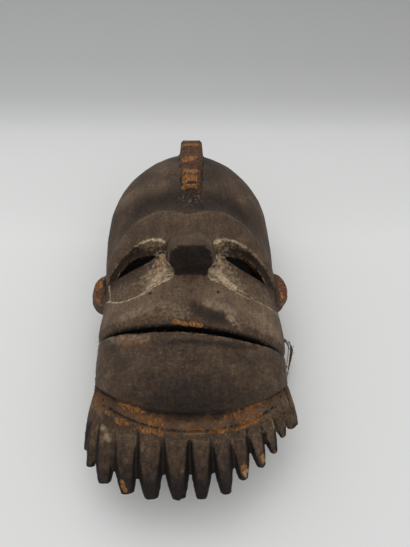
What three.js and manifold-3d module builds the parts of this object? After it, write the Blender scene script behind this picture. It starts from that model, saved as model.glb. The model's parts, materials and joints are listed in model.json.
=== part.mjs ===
// A carved wooden face mask with a separate lower jaw, held by a wire and a cord tie at each side.
// Millimetres. The mask lies on its flat back: x runs across the face, y from the beard to the crown, and z
// out of the back. The mouth is near y = 0 until the last lines move the origin under the part's middle.
import * as THREE from 'three';
import { mergeVertices } from 'three/addons/utils/BufferGeometryUtils.js';
import Module from 'manifold-3d';

// Driving dimensions
const head = { crownRow: 112, top: 201, halfWidth: 69, belly: 38, tuck: 0.05, sway: -2.2 };
const dome = { power: 2.2, planPower: 1.1, rings: 11 };
const wall = { side: 9.5, front: 11, end: 10 };
const mouth = { y: -6.5, z: 40, slant: 0.09, lean: 0.12, gap: 0.45, drop: 4 };
const hinge = { z: 18, back: 13.5, corner: 13, cornerTurn: 35, foot: 3 };
const brow = { bottom: 64.5, top: 91.8, raise: 2.4, cove: 3.4, arch: 0.018, topArch: 0.0155, bridge: 14 };
const socket = { depth: 9, templeDepth: 3.2, inner: 13 };
const leftSlit = { inner: 25.5, outer: 60.6, foot: 47.3, footAt: 56, rise: 0.068 };
const rightSlit = { inner: 27, outer: 61, foot: 44, footAt: 57, rise: 0.0846 };
const slitCut = { tilt: 0.45, above: 12, below: 27, inward: 0.006, underBrow: 3, outerRise: 2.6 };
const cheek = { base: 18.4, rise: 46, reach: 48, top: 37, leftTemple: 0.032, rightTemple: 0 };
const nose = { tip: 38.4, slant: 0.2, top: 106.5, base: 66, wing: 17.4, root: 75 };
const ear = { leftY: 46.5, rightY: 49, z: 40, halfLength: 16.5, leftReach: 11.5, rightReach: 9.5 };
const earPlate = { thick: 11, sink: 9, bevel: 1.2, turn: 14 };
const crest = { x: 0.3, start: 115, end: 199, frontWidth: 14.8, backWidth: 18.6, flare: 3.4 };
const ridge = { height: 13, lowShare: 0.35, teeth: 6, notch: 2.6, root: 5 };
const chin = { centre: -34, halfWidth: 66.5, depth: 34, top: 79.5, edge: 66, sideEdge: 50, hollowDepth: 23 };
const tieHole = { radius: 4, face: 30 };
const tie = { wallMiddle: 65.5, closeBow: 6.4, rightBow: 11.5, stepsPerTurn: 18 };
const wire = { radius: 0.7, corners: 6, pitch: 1.5, turns: 2, open: 0, lift: 1.3, inside: 13.5, outside: 0 };
const cord = { radius: 1.2, corners: 8, pitch: 0, turns: 1, open: 0.05, lift: -2, inside: 13.8, outside: 2 };
const lockRoot = { a: 66, b: 42, z: 42, drop: 12, thick: 6.5 };
const color = { wood: 0x4b4038, jawWood: 0x463b34, wire: 0xa9adb0, cord: 0x3d2b26 };

// Each lock of the beard, from the viewer's left to right: where it leaves the jaw (degrees round the chin),
// its width, how far it reaches toward the beard's end and how far its tip drifts across.
const locks = [
  { turn: 175, width: 10, reach: 40, drift: -4 },
  { turn: 163, width: 13, reach: 43, drift: -3 },
  { turn: 148, width: 18, reach: 44, drift: 0 },
  { turn: 133, width: 19, reach: 42, drift: 5 },
  { turn: 115, width: 20, reach: 38, drift: 3 },
  { turn: 99, width: 19, reach: 35, drift: 3 },
  { turn: 84, width: 16, reach: 34, drift: 0 },
  { turn: 72, width: 15, reach: 33, drift: 2 },
  { turn: 61, width: 14, reach: 27, drift: 2 },
  { turn: 50, width: 13, reach: 23, drift: 4 },
  { turn: 39, width: 12, reach: 19, drift: 4 },
  { turn: 28, width: 11, reach: 14, drift: 4 },
  { turn: 17, width: 10, reach: 16, drift: 5 },
  { turn: 5, width: 10, reach: 22, drift: 6 },
];

const clamp = (t) => Math.min(1, Math.max(0, t));
const mix = (a, b, t) => a + (b - a) * t;
const smooth = (a, b, t) => THREE.MathUtils.smoothstep(t, a, b);
const radians = THREE.MathUtils.degToRad;
const rounded = (s, power) => Math.pow(Math.max(0, 1 - Math.pow(clamp(s), power)), 1 / power);
const range = (count) => Array.from({ length: count }, (_, i) => i);

// A smooth height or width that passes through a few stations along y.
function through(stations) {
  return (y) => {
    const last = stations.length - 1;
    let i = stations.findIndex(([at], k) => k > 0 && y <= at) - 1;
    if (i < 0) i = y <= stations[0][0] ? 0 : last - 1;
    const slope = (k) => {
      const [a, b] = [stations[Math.max(0, k - 1)], stations[Math.min(last, k + 1)]];
      return (b[1] - a[1]) / (b[0] - a[0]);
    };
    const [[y0, v0], [y1, v1]] = [stations[i], stations[i + 1]];
    const span = y1 - y0;
    const t = clamp((y - y0) / span);
    const [t2, t3] = [t * t, t * t * t];
    return (2 * t3 - 3 * t2 + 1) * v0 + (t3 - 2 * t2 + t) * span * slope(i)
      + (3 * t2 - 2 * t3) * v1 + (t3 - t2) * span * slope(i + 1);
  };
}

// The midline height of the smooth head, its half width, and how full its cross-section is.
const crownHeight = through([[-40, 79], [-12, 81], [10, 82], [34, 79], [60, 86], [90, 90], [112, 91]]);
const halfWidth = through([[-40, 68], [-4, 69.8], [12, 69.5], [32, 67.5], [60, 68], [90, 69], [112, 68.5]]);
const fullness = through([[-40, 2.0], [-12, 1.8], [15, 1.85], [45, 2.05], [90, 2.15], [112, 2.15]]);

// Triangles from a grid of points, closed by the caps that the caller gives, with shared points merged.
function closedBody(rows, caps) {
  const points = [];
  const triangle = (a, b, c) => points.push(a, b, c);
  const quad = (a, b, c, d) => {
    triangle(a, b, c);
    triangle(a, c, d);
  };
  for (let i = 0; i + 1 < rows.length; i += 1) {
    for (let j = 0; j + 1 < rows[i].length; j += 1) {
      quad(rows[i][j], rows[i][j + 1], rows[i + 1][j + 1], rows[i + 1][j]);
    }
  }
  caps(quad);
  const geometry = new THREE.BufferGeometry().setFromPoints(points);
  return welded(geometry);
}

function welded(geometry) {
  geometry.deleteAttribute('normal');
  geometry.deleteAttribute('uv');
  const merged = mergeVertices(geometry, 1e-3);
  const kept = [];
  const index = merged.index.array;
  for (let i = 0; i < index.length; i += 3) {
    const [a, b, c] = index.slice(i, i + 3);
    if (a !== b && b !== c && c !== a) kept.push(a, b, c);
  }
  merged.setIndex(kept);
  return facingOut(merged);
}

// Turns every triangle round when the body is inside out, which its signed volume shows.
function facingOut(geometry) {
  const corners = geometry.index.array;
  const at = (i) => new THREE.Vector3().fromBufferAttribute(geometry.attributes.position, corners[i]);
  let volume = 0;
  for (let i = 0; i < corners.length; i += 3) volume += at(i).dot(at(i + 1).cross(at(i + 2)));
  if (volume < 0) {
    const turned = [];
    for (let i = 0; i < corners.length; i += 3) turned.push(corners[i + 1], corners[i], corners[i + 2]);
    geometry.setIndex(turned);
  }
  return geometry;
}

const manifold = await Module();
manifold.setup();

function solid(geometry) {
  const mesh = new manifold.Mesh({
    numProp: 3,
    vertProperties: new Float32Array(geometry.attributes.position.array),
    triVerts: new Uint32Array(geometry.index.array),
  });
  return new manifold.Manifold(mesh);
}

function geometryOf(body) {
  const { vertProperties, triVerts } = body.getMesh();
  const geometry = new THREE.BufferGeometry();
  geometry.setAttribute('position', new THREE.BufferAttribute(new Float32Array(vertProperties), 3));
  geometry.setIndex(new THREE.BufferAttribute(new Uint32Array(triVerts), 1));
  geometry.computeVertexNormals();
  return geometry;
}

// A skin of sections, each running from the left rim over the top to the right rim. The last section is
// folded on itself, so only the back and the mouth end need caps.
function shell(sections) {
  const last = sections[0].length - 1;
  return closedBody(sections, (quad) => {
    for (let k = 0; k + 1 < sections.length; k += 1) {
      quad(sections[k][last], sections[k][0], sections[k + 1][0], sections[k + 1][last]);
    }
    for (let j = 0; j < last / 2; j += 1) {
      const front = sections[0];
      quad(front[j + 1], front[j], front[last - j], front[last - j - 1]);
    }
  });
}

// The cut between face and jaw at a place across the mask and a height above its back.
const mouthPlane = (x, z) => mouth.y - mouth.slant * x - mouth.lean * (z - mouth.z);

// The dome leans a little to the viewer's left of the face.
const swayAt = (y) => head.sway * smooth(20, head.crownRow, y);

// Feature lines across the face, each the y of a carved edge at x.
const lipRidge = (x, z) => mouthPlane(x, z) + 6 + 12.5 * Math.pow(clamp(1 - Math.abs(x) / 46), 1.3);
const cheekLine = (x) => {
  const across = Math.hypot(x, 5);
  const peak = Math.min(cheek.top, cheek.base + cheek.rise * Math.pow(clamp(1 - across / cheek.reach), 2.2));
  return peak + (x < 0 ? cheek.leftTemple : cheek.rightTemple) * Math.pow(Math.max(0, across - 45), 2);
};
const slitLine = (x) => {
  const slit = x < 0 ? leftSlit : rightSlit;
  return slit.foot + slit.rise * Math.pow(Math.abs(Math.max(Math.abs(x), slit.inner) - slit.footAt), 1.5);
};
const browBottom = (x) => brow.bottom - brow.arch * Math.pow(Math.max(Math.abs(x), brow.bridge) - 32, 2);
const browTop = (x) => {
  const across = Math.abs(x);
  if (across > 22) return brow.top - brow.topArch * Math.pow(across - 22, 2);
  return brow.top - 5.5 * Math.pow(1 - across / 22, 1.5);
};

// How far each carved row stands out of the smooth head. A socket fades out behind the nose and at a temple.
const socketAt = (x, share) => {
  const across = Math.abs(x);
  const depth = mix(socket.depth, socket.templeDepth, smooth(34, 58, across));
  return -depth * share * smooth(socket.inner - 5, socket.inner, across) * (1 - smooth(62, 64.5, across));
};
const atTemple = (x) => 1 - smooth(62, 68, Math.abs(x));

const faceRows = [
  { y: (x, z) => mouthPlane(x, z) + mouth.gap, lift: () => -3.4, steps: 1 },
  { y: (x, z) => mouthPlane(x, z) + 2.2, lift: () => -2, steps: 1 },
  { y: lipRidge, lift: (x) => 0.9 * atTemple(x), steps: 3 },
  { y: (x) => cheekLine(x) - 0.6, lift: (x) => 1.4 * atTemple(x), steps: 3 },
  { y: (x) => cheekLine(x) + 1.6, lift: (x) => socketAt(x, 0.45), steps: 1 },
  { y: (x) => slitLine(x) - 3, lift: (x) => socketAt(x, 0.8), steps: 3 },
  { y: (x) => mix(slitLine(x), browBottom(x), 0.4), lift: (x) => socketAt(x, 0.95), steps: 1 },
  { y: (x) => browBottom(x) - 0.9, lift: (x) => socketAt(x, 1), steps: 2 },
  { y: (x) => browBottom(x) + 0.9, lift: (x) => 1.2 * atTemple(x), steps: 1 },
  { y: (x) => browTop(x) - 1, lift: (x) => brow.raise * atTemple(x), steps: 3 },
  { y: (x) => browTop(x) + 1.2, lift: (x) => -0.8 * atTemple(x), steps: 1 },
  {
    y: (x) => mix(browTop(x) + 9, head.crownRow, 0.35),
    lift: (x) => -brow.cove * 0.7 * atTemple(x),
    steps: 2,
  },
  { y: () => head.crownRow, lift: () => 0, steps: 2 },
];

// One half of a cross-section, from the midline (0) to the belly (1) and down to the rim (2).
const overTop = 13;
const downSide = 4;
const halfSteps = [
  ...range(overTop).map((i) => Math.sin((i / overTop) * Math.PI / 2)),
  ...range(downSide + 1).map((i) => 1 + i / downSide),
];
const wholeSteps = [...halfSteps.slice(1).reverse().map((s) => -s), ...halfSteps];

// A point of the smooth head at a station y and a step across, moved out by lift along the section's normal.
function headPoint(station, step, liftAt) {
  const side = Math.sign(step);
  const s = Math.abs(step);
  const half = halfWidth(station);
  if (s > 1) {
    const down = s - 1;
    const x = side * half * (1 - head.tuck * down * down);
    return new THREE.Vector3(x, station, head.belly * (1 - down));
  }
  const power = fullness(station);
  const height = crownHeight(station) - head.belly;
  const x = half * s;
  const round = rounded(s, power);
  const z = head.belly + height * round;
  const normal = new THREE.Vector2(Math.pow(s, power - 1) / half, Math.pow(round, power - 1) / height);
  normal.normalize();
  const lift = liftAt(side * x);
  return new THREE.Vector3(side * (x + lift * normal.x), station, z + lift * normal.y);
}

function faceSections() {
  const sections = [];
  faceRows.forEach((row, k) => {
    const from = faceRows[Math.max(0, k - 1)];
    for (let step = 1; step <= row.steps; step += 1) {
      const t = step / row.steps;
      sections.push(wholeSteps.map((across) => {
        const rough = Math.sign(across) * Math.min(1, Math.abs(across)) * head.halfWidth;
        const station = mix(from.y(rough, 60), row.y(rough, 60), t);
        const p = headPoint(station, across, (x) => mix(from.lift(x), row.lift(x), t));
        p.y = mix(from.y(p.x, p.z), row.y(p.x, p.z), t);
        p.x += swayAt(p.y);
        return p;
      }));
    }
  });
  return sections;
}

// The dome: rays fan out from the end of the straight rows and close over the crown.
function domeSections() {
  const half = halfWidth(head.crownRow);
  const reach = head.top - head.crownRow;
  const height = crownHeight(head.crownRow);
  return range(dome.rings).map((k) => {
    const turn = ((k + 1) / dome.rings) * Math.PI / 2;
    const power = mix(fullness(head.crownRow), dome.power, Math.sin(turn) ** 2);
    return wholeSteps.map((across) => {
      const side = Math.sign(across);
      const s = Math.abs(across);
      const spread = s > 1 ? 1 - head.tuck * (s - 1) ** 2 : s;
      const z = s > 1 ? head.belly * (2 - s) : mix(head.belly, height, rounded(s, power));
      const x = side * half * spread * Math.pow(Math.cos(turn), dome.planPower) + head.sway;
      return new THREE.Vector3(x, head.crownRow + reach * spread * Math.sin(turn), z);
    });
  });
}

// The hollow behind the face: a smooth vault, open at the back and at the mouth.
const vaultOver = 9;
const vaultSteps = [
  ...range(vaultOver).map((i) => Math.sin((i / vaultOver) * Math.PI / 2)),
  ...range(3).map((i) => 1 + i / 2),
];
const vaultAcross = [...vaultSteps.slice(1).reverse().map((s) => -s), ...vaultSteps];

function vaultPoint(half, height, across, power) {
  const s = Math.abs(across);
  const belly = head.belly - 4;
  const z = s > 1 ? mix(belly, -1, s - 1) : mix(belly, height, rounded(s, power));
  return { x: Math.sign(across) * half * Math.min(1, s), z };
}

function faceHollow() {
  const straight = [-30, 5, 25, 45, 65, 88, head.crownRow].map((station) => {
    const [half, height] = [halfWidth(station) - wall.side, crownHeight(station) - wall.front];
    return vaultAcross.map((across) => {
      const { x, z } = vaultPoint(half, height, across, fullness(station));
      return new THREE.Vector3(x + swayAt(station), station, z);
    });
  });
  const half = halfWidth(head.crownRow) - wall.side;
  const height = crownHeight(head.crownRow) - wall.front;
  const reach = head.top - head.crownRow - wall.end;
  const rings = 8;
  const vault = range(rings).map((k) => {
    const turn = ((k + 1) / rings) * Math.PI / 2;
    return vaultAcross.map((across) => {
      const { x, z } = vaultPoint(half, height, across, 2.3);
      const y = head.crownRow + reach * Math.abs(x / half) * Math.sin(turn);
      return new THREE.Vector3(x * Math.cos(turn) + head.sway, y, z);
    });
  });
  return solid(shell([...straight, ...vault]));
}

// A body lofted through closed rings of equal length, capped at both ends.
function loft(rings) {
  const rows = rings.map((ring) => [...ring, ring[0]]);
  const sum = (ring) => ring.reduce((total, p) => total.add(p), new THREE.Vector3());
  const middle = (ring) => sum(ring).divideScalar(ring.length);
  const [first, end] = [rings[0], rings[rings.length - 1]];
  const [firstMiddle, endMiddle] = [middle(first), middle(end)];
  return solid(closedBody(rows, (quad) => {
    first.forEach((p, i) => {
      const next = first[(i + 1) % first.length];
      quad(next, p, firstMiddle, firstMiddle);
    });
    end.forEach((p, i) => {
      const next = end[(i + 1) % end.length];
      quad(p, next, endMiddle, endMiddle);
    });
  }));
}

// The nose: a block that rises from the brow to a blunt tip, with a flat underside and bevelled wings. The
// underside leans back, toward the beard at its base.
function noseBody() {
  const section = (y, top, topHalf, midHalf, baseHalf, slant = 0) => {
    const right = [
      [baseHalf, nose.base],
      [midHalf, mix(nose.base, top, 0.55)],
      [mix(midHalf, topHalf, 0.55), mix(nose.base, top, 0.88)],
      [topHalf * 0.75, top],
    ];
    const left = right.map(([x, z]) => [-x, z]).reverse();
    return [...right, ...left].map(([x, z]) => new THREE.Vector3(x, y + slant * (z - nose.top), z));
  };
  const { tip, slant, top, wing, root } = nose;
  return loft([
    section(tip, top - 0.7, 12, 16.3, 14, slant),
    section(tip + 1.8, top, 13.4, wing, 17.4, slant),
    section(tip + 8, top - 1.8, 12.5, wing, 18),
    section(tip + 17, top - 6, 11, 15.5, 16.5),
    section(tip + 26, top - 12, 9.5, 13, 14),
    section(root, crownHeight(root) - 1.5, 8.5, 11, 12),
  ]);
}

// An ear: a half-round plate at the side of the head, its root sunk into the wall.
function earBody(side) {
  const { thick, sink, bevel, turn } = earPlate;
  const [y, reach] = side < 0 ? [ear.leftY, ear.leftReach] : [ear.rightY, ear.rightReach];
  const outline = new THREE.Shape();
  outline.moveTo(-sink, -ear.halfLength);
  outline.lineTo(0, -ear.halfLength);
  outline.absellipse(0, 0, reach, ear.halfLength, -Math.PI / 2, Math.PI / 2, false);
  outline.lineTo(-sink, ear.halfLength);
  const plate = new THREE.ExtrudeGeometry(outline, {
    depth: thick - 2 * bevel,
    curveSegments: 9,
    bevelThickness: bevel,
    bevelSize: bevel,
    bevelOffset: -bevel,
    bevelSegments: 1,
  });
  plate.translate(0, 0, bevel - thick / 2);
  plate.rotateY(radians(turn));
  if (side < 0) plate.rotateY(Math.PI);
  plate.translate(side * (halfWidth(y) - 1), y, ear.z);
  return solid(welded(plate));
}

// The midline of the dome, as a point and the direction that points straight out of it.
function domeLine(y) {
  const reach = head.top - head.crownRow;
  const height = crownHeight(head.crownRow) - head.belly;
  const s = clamp((y - head.crownRow) / reach);
  const round = rounded(s, dome.power);
  const steep = dome.power - 1;
  const rise = Math.pow(Math.max(0.02, round), steep) / height;
  const out = new THREE.Vector3(0, Math.pow(s, steep) / reach, rise);
  return { point: new THREE.Vector3(crest.x, y, head.belly + height * round), out: out.normalize() };
}

// The crest: a ridge along the crown, notched across, low in front and highest over the back of the head.
function crestBody() {
  const perTooth = 4;
  const count = ridge.teeth * perTooth;
  return loft(range(count + 1).map((k) => {
    const along = k / count;
    const y = mix(crest.start, crest.end, Math.sin(along * Math.PI / 2));
    const { point, out } = domeLine(y);
    const inTooth = (k % perTooth) / perTooth;
    const notch = k === 0 || k === count ? 0 : ridge.notch * (inTooth < 0.3 ? 1 : 0.25 * (1 - inTooth));
    const front = mix(ridge.lowShare, 1, smooth(0, 0.55, along));
    const rise = ridge.height * front * (1 - smooth(0.74, 1, along)) - notch;
    const at = (x, up) => point.clone().addScaledVector(out, up).add(new THREE.Vector3(x, 0, 0));
    const top = mix(crest.frontWidth, crest.backWidth, smooth(0, 0.6, along)) / 2;
    const base = top + crest.flare / 2;
    return [
      at(base, -ridge.root), at(top, rise - 2), at(top - 1.8, rise),
      at(1.8 - top, rise), at(-top, rise - 2), at(-base, -ridge.root),
    ];
  }));
}

// The tool that cuts one eye slit. Its lower edge is the slit's line, and its upper edge runs along the foot of
// the brow's step. As it goes in it leans toward the crown and, at its outer end, in toward the hollow.
function slitTool(side) {
  const slit = side < 0 ? leftSlit : rightSlit;
  const lower = (t) => {
    const x = mix(slit.inner, slit.outer, t);
    return new THREE.Vector2(x, slitLine(side * x));
  };
  const upper = (t) => {
    const edge = lower(t);
    const top = browBottom(edge.x) - slitCut.underBrow + slitCut.outerRise * t;
    edge.y = mix(edge.y, top, Math.pow(Math.sin(Math.PI * t), 0.25));
    return edge;
  };
  const steps = range(11).map((i) => i / 10);
  const outline = new THREE.Shape([...steps.map(lower), ...steps.slice(1, -1).reverse().map(upper)]);
  const depth = slitCut.above + slitCut.below;
  const tool = new THREE.ExtrudeGeometry(outline, { depth, bevelEnabled: false, steps: 1 });
  const { position } = tool.attributes;
  for (let i = 0; i < position.count; i += 1) {
    const [x, y, z] = [position.getX(i), position.getY(i), position.getZ(i) - slitCut.below];
    const skin = headPoint(slit.foot, x / halfWidth(slit.foot), (at) => socketAt(at, 0.9)).z;
    const across = x * (1 + slitCut.inward * Math.min(0, z));
    position.setXYZ(i, side * across + swayAt(y), y - slitCut.tilt * z, skin + z);
  }
  return solid(welded(tool));
}

// A round hole through both side walls at the tie's height, along the hinge.
function tieHoles(offset) {
  const drill = new THREE.CylinderGeometry(tieHole.radius, tieHole.radius, 190, 14);
  drill.rotateZ(-Math.PI / 2 - Math.atan(mouth.slant));
  drill.translate(0, mouthPlane(0, hinge.z) + offset, hinge.z);
  return solid(welded(drill));
}

// The jaw's rings, each an ellipse round the chin: half width a, depth b, height z at the beard end, sideZ
// at the sides. They run from the chin's middle over its edge, the ledge and the roll, down to the rim.
const jawRings = [
  ...[0, 0.25, 0.46, 0.65, 0.8, 0.92].map((share) => ({
    a: chin.halfWidth * share,
    b: chin.depth * share,
    z: mix(chin.edge, chin.top, rounded(share, 2.3)),
    sideZ: mix(chin.sideEdge, chin.top, rounded(share, 1.9)),
  })),
  { a: 66.5, b: 34.2, z: 65.5, sideZ: 50 },
  { a: 64.5, b: 31.5, z: 58.5, sideZ: 46 },
  { a: 63.5, b: 30.8, z: 55.5, sideZ: 44.5 },
  { a: 65.5, b: 36.5, z: 53, sideZ: 43 },
  { a: 66.2, b: 39.8, z: 50.2, sideZ: 41 },
  { a: 67.6, b: 42, z: 51.2, sideZ: 40.5 },
  { a: 68.6, b: 45, z: 47, sideZ: 38 },
  { a: 67.5, b: 43.5, z: 38, sideZ: 30 },
  { a: 66.5, b: 41.5, z: 19, sideZ: 15 },
  { a: 65.5, b: 40, z: 0, sideZ: 0 },
];

// How far the jaw stands back from the mouth's cut at a height: open at the lips, rounded about the hinge.
function jawSetback(z) {
  const below = hinge.z - z;
  const turnEnd = hinge.corner * Math.sin(radians(hinge.cornerTurn));
  if (below <= 0) return mouth.gap - mouth.drop * below / 62;
  if (below <= turnEnd) return hinge.back - Math.sqrt(hinge.corner ** 2 - below ** 2);
  const t = (below - turnEnd) / (hinge.z - turnEnd);
  return hinge.back - mix(hinge.corner * Math.cos(radians(hinge.cornerTurn)), hinge.foot, t);
}

function jawSections() {
  const last = jawRings.length - 1;
  const across = [...range(last).map((k) => k - last), ...range(last + 1)];
  const lastTop = 11;
  const plainStation = -22;
  const plain = (k, station) => {
    const share = k / lastTop;
    const half = halfWidth(station);
    if (k > lastTop) {
      const down = (k - lastTop) / (last - lastTop);
      return { x: half * (1 - head.tuck * down * down), z: head.belly * (1 - down) };
    }
    const s = Math.sin(share * Math.PI / 2);
    return { x: half * s, z: mix(head.belly, crownHeight(station) - 1, rounded(s, fullness(station))) };
  };
  const lipRows = [
    { y: null, lift: -2.2, blend: 0 },
    { y: -1.6, lift: 0, blend: 0 },
    { y: -8.5, lift: 0.2, blend: 0 },
    { y: -10.5, lift: -1.7, blend: 0 },
    { y: -13.5, lift: -0.6, blend: 0.1 },
    { y: -19, lift: 0, blend: 0.55 },
  ];
  const straight = [...lipRows, { y: chin.centre, lift: 0, blend: 1 }].map((row) => across.map((k) => {
    const ring = jawRings[Math.abs(k)];
    const side = plain(Math.abs(k), plainStation);
    const lift = row.lift * (1 - smooth(34, 56, side.x));
    const x = Math.sign(k) * mix(side.x, ring.a, row.blend);
    const z = mix(side.z, ring.sideZ, row.blend) + lift;
    const lip = mouthPlane(x, z) - jawSetback(z);
    const share = row.y === null ? 0 : clamp(row.y / (chin.centre - mouthPlane(0, chin.top)));
    return new THREE.Vector3(x, mix(lip, chin.centre, share), z);
  }));
  const spokes = 11;
  const fan = range(spokes).map((i) => {
    const turn = ((i + 1) / spokes) * Math.PI / 2;
    return across.map((k) => {
      const ring = jawRings[Math.abs(k)];
      const x = Math.sign(k) * ring.a * Math.cos(turn);
      const z = mix(ring.sideZ, ring.z, smooth(0, 0.75, Math.sin(turn)));
      return new THREE.Vector3(x, chin.centre - ring.b * Math.sin(turn), z);
    });
  });
  return [...straight, ...fan];
}

function jawHollow() {
  const half = halfWidth(-20) - wall.side;
  const height = chin.top - wall.front;
  const straight = [20, -10, chin.centre].map((station) => vaultAcross.map((across) => {
    const { x, z } = vaultPoint(half, height, across, 2);
    return new THREE.Vector3(x, station, z);
  }));
  const spokes = 7;
  const fan = range(spokes).map((i) => {
    const turn = ((i + 1) / spokes) * Math.PI / 2;
    return vaultAcross.map((across) => {
      const { x, z } = vaultPoint(half, height, across, 2);
      const y = chin.centre - chin.hollowDepth * Math.abs(x / half) * Math.sin(turn);
      return new THREE.Vector3(x * Math.cos(turn), y, z);
    });
  });
  return solid(shell([...straight, ...fan]));
}

// One lock of the beard: a tapering tongue that leaves the roll under the chin and drops to its tip.
function lockBody({ turn, width, reach, drift }) {
  const angle = radians(turn);
  const [x, y] = [lockRoot.a * Math.cos(angle), chin.centre - lockRoot.b * Math.sin(angle)];
  const root = new THREE.Vector3(x, y, lockRoot.z);
  const tip = root.clone().add(new THREE.Vector3(drift, -reach, -lockRoot.drop));
  const start = root.clone().add(new THREE.Vector3(-0.12 * root.x, 9, 1));
  const bend = root.clone().add(new THREE.Vector3(0, -0.35 * reach, 2));
  const path = new THREE.QuadraticBezierCurve3(start, bend, tip);
  const stations = 5;
  return loft(range(stations + 1).map((i) => {
    const t = i / stations;
    const p = path.getPoint(t);
    const along = path.getTangent(t);
    const sideways = new THREE.Vector3(-along.y, along.x, 0).normalize();
    const up = new THREE.Vector3().crossVectors(along, sideways).normalize();
    const w = (width / 2) * (1.05 - 0.6 * Math.pow(t, 3));
    const d = lockRoot.thick * (1 - 0.5 * t * t);
    return range(8).map((j) => {
      const round = (j / 8) * Math.PI * 2;
      const across = sideways.clone().multiplyScalar(w * Math.cos(round));
      return p.clone().add(across).addScaledVector(up, d * Math.sin(round));
    });
  }));
}

// A tie: a loop through the face's hole and the jaw's. Outside it bows away from the wall beside the face's
// hole and comes back to the wall before the jaw's, and inside it lies along the wall. Its ends stay apart
// by the share of a turn that open gives.
function tieGeometry(side, { radius, lift, turns, open, pitch, inside, outside, corners }) {
  const x = side * 70;
  const ends = [mouthPlane(x, hinge.z) - hinge.back, mouthPlane(x, hinge.z) + tieHole.face];
  const [middle, reach] = [(ends[0] + ends[1]) / 2, (ends[1] - ends[0]) / 2];
  const bow = side < 0 ? tie.closeBow : tie.rightBow + outside;
  const perTurn = 20;
  const boxy = (value, power) => Math.sign(value) * Math.pow(Math.abs(value), power);
  const points = range(turns * perTurn + 1).map((i) => {
    const turn = mix(open, turns - open, i / (turns * perTurn)) * Math.PI * 2;
    const [out, along] = [boxy(-Math.cos(turn), 0.35), boxy(Math.sin(turn), 0.5)];
    const depth = out > 0 ? mix(tie.closeBow, bow, smooth(-0.4, 0.4, along)) : inside;
    const z = hinge.z + lift + pitch * (i / perTurn - turns / 2);
    return new THREE.Vector3(side * (tie.wallMiddle + out * depth), middle + reach * along, z);
  });
  const section = new THREE.Shape().absarc(0, 0, radius, 0, Math.PI * 2, false);
  return new THREE.ExtrudeGeometry(section, {
    steps: turns * tie.stepsPerTurn,
    extrudePath: new THREE.CatmullRomCurve3(points),
    curveSegments: corners / 2,
    bevelEnabled: false,
  });
}

const paint = (hex, roughness, metalness) => (
  new THREE.MeshStandardMaterial({ color: hex, roughness, metalness })
);
const darkWood = paint(color.wood, 0.8, 0);
const jawWood = paint(color.jawWood, 0.8, 0);
const zincWire = paint(color.wire, 0.45, 0.9);
const fibre = paint(color.cord, 0.95, 0);

const mask = new THREE.Group();

function add(name, geometry, material) {
  const mesh = new THREE.Mesh(geometry, material);
  mesh.name = name;
  mask.add(mesh);
  return mesh;
}

const faceBody = solid(shell([...faceSections(), ...domeSections()]))
  .add(noseBody())
  .add(earBody(1))
  .add(earBody(-1))
  .add(crestBody())
  .subtract(faceHollow())
  .subtract(slitTool(1))
  .subtract(slitTool(-1))
  .subtract(tieHoles(tieHole.face));
add('face', geometryOf(faceBody), darkWood);

const jawBody = locks
  .reduce((body, lock) => body.add(lockBody(lock)), solid(shell(jawSections())))
  .subtract(jawHollow())
  .subtract(tieHoles(-hinge.back));
add('jaw', geometryOf(jawBody), jawWood);

for (const [name, side] of [['right', 1], ['left', -1]]) {
  add(`tie_wire_${name}`, tieGeometry(side, wire), zincWire);
  add(`tie_cord_${name}`, tieGeometry(side, cord), fibre);
}

// The origin moves to the back, under the middle of the whole part.
const box = new THREE.Box3().setFromObject(mask, true);
const middle = box.getCenter(new THREE.Vector3());
mask.position.set(-middle.x, -middle.y, -box.min.z);

export default mask;
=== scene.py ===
import json
import math

import bmesh
import bpy
import numpy as np
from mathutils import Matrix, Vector, kdtree, noise


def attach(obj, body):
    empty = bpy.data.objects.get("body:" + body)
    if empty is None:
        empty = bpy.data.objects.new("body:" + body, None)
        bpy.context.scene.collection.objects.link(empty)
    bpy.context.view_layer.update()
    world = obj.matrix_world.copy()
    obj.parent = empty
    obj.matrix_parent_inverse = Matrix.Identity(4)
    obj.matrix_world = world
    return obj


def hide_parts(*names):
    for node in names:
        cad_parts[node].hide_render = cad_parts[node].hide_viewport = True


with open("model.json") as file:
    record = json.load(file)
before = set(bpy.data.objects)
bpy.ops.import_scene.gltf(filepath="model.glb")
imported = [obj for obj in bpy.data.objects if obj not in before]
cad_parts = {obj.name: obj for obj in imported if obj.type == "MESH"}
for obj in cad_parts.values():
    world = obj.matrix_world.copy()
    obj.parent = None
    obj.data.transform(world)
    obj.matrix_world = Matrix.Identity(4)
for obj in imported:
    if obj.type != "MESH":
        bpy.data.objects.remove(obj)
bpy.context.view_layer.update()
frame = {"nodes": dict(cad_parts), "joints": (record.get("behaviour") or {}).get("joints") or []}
scene = bpy.context.scene
print("frame loaded")

# The carver's frame: millimetres, with y = 0 at the mouth, as the CAD part is drawn. The hinge places it.
hingeSpot = {"y": -17.36, "z": 18.0}
hinge = frame["joints"][0]
mouthOrigin = np.array([hinge["pos_m"][0] * 1000, hinge["pos_m"][1] * 1000 - hingeSpot["y"], 0.0])


def toPart(points):  # carver's millimetres to the frame's metres
    return (np.asarray(points, float) + mouthOrigin) / 1000


def toCarver(points):
    return np.asarray(points, float) * 1000 - mouthOrigin


def addObject(name, data):
    made = bpy.data.objects.new(name, data)
    scene.collection.objects.link(made)
    return made


# Camera and light
view = {"height": 401.0, "back": -239.0, "tiltDown": 49.5, "focal": 577.4, "longSide": 547.0,
        "middleColumn": 191.0, "frameWidth": 410.0, "sensor": 36.0, "nearest": 0.01}


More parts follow.
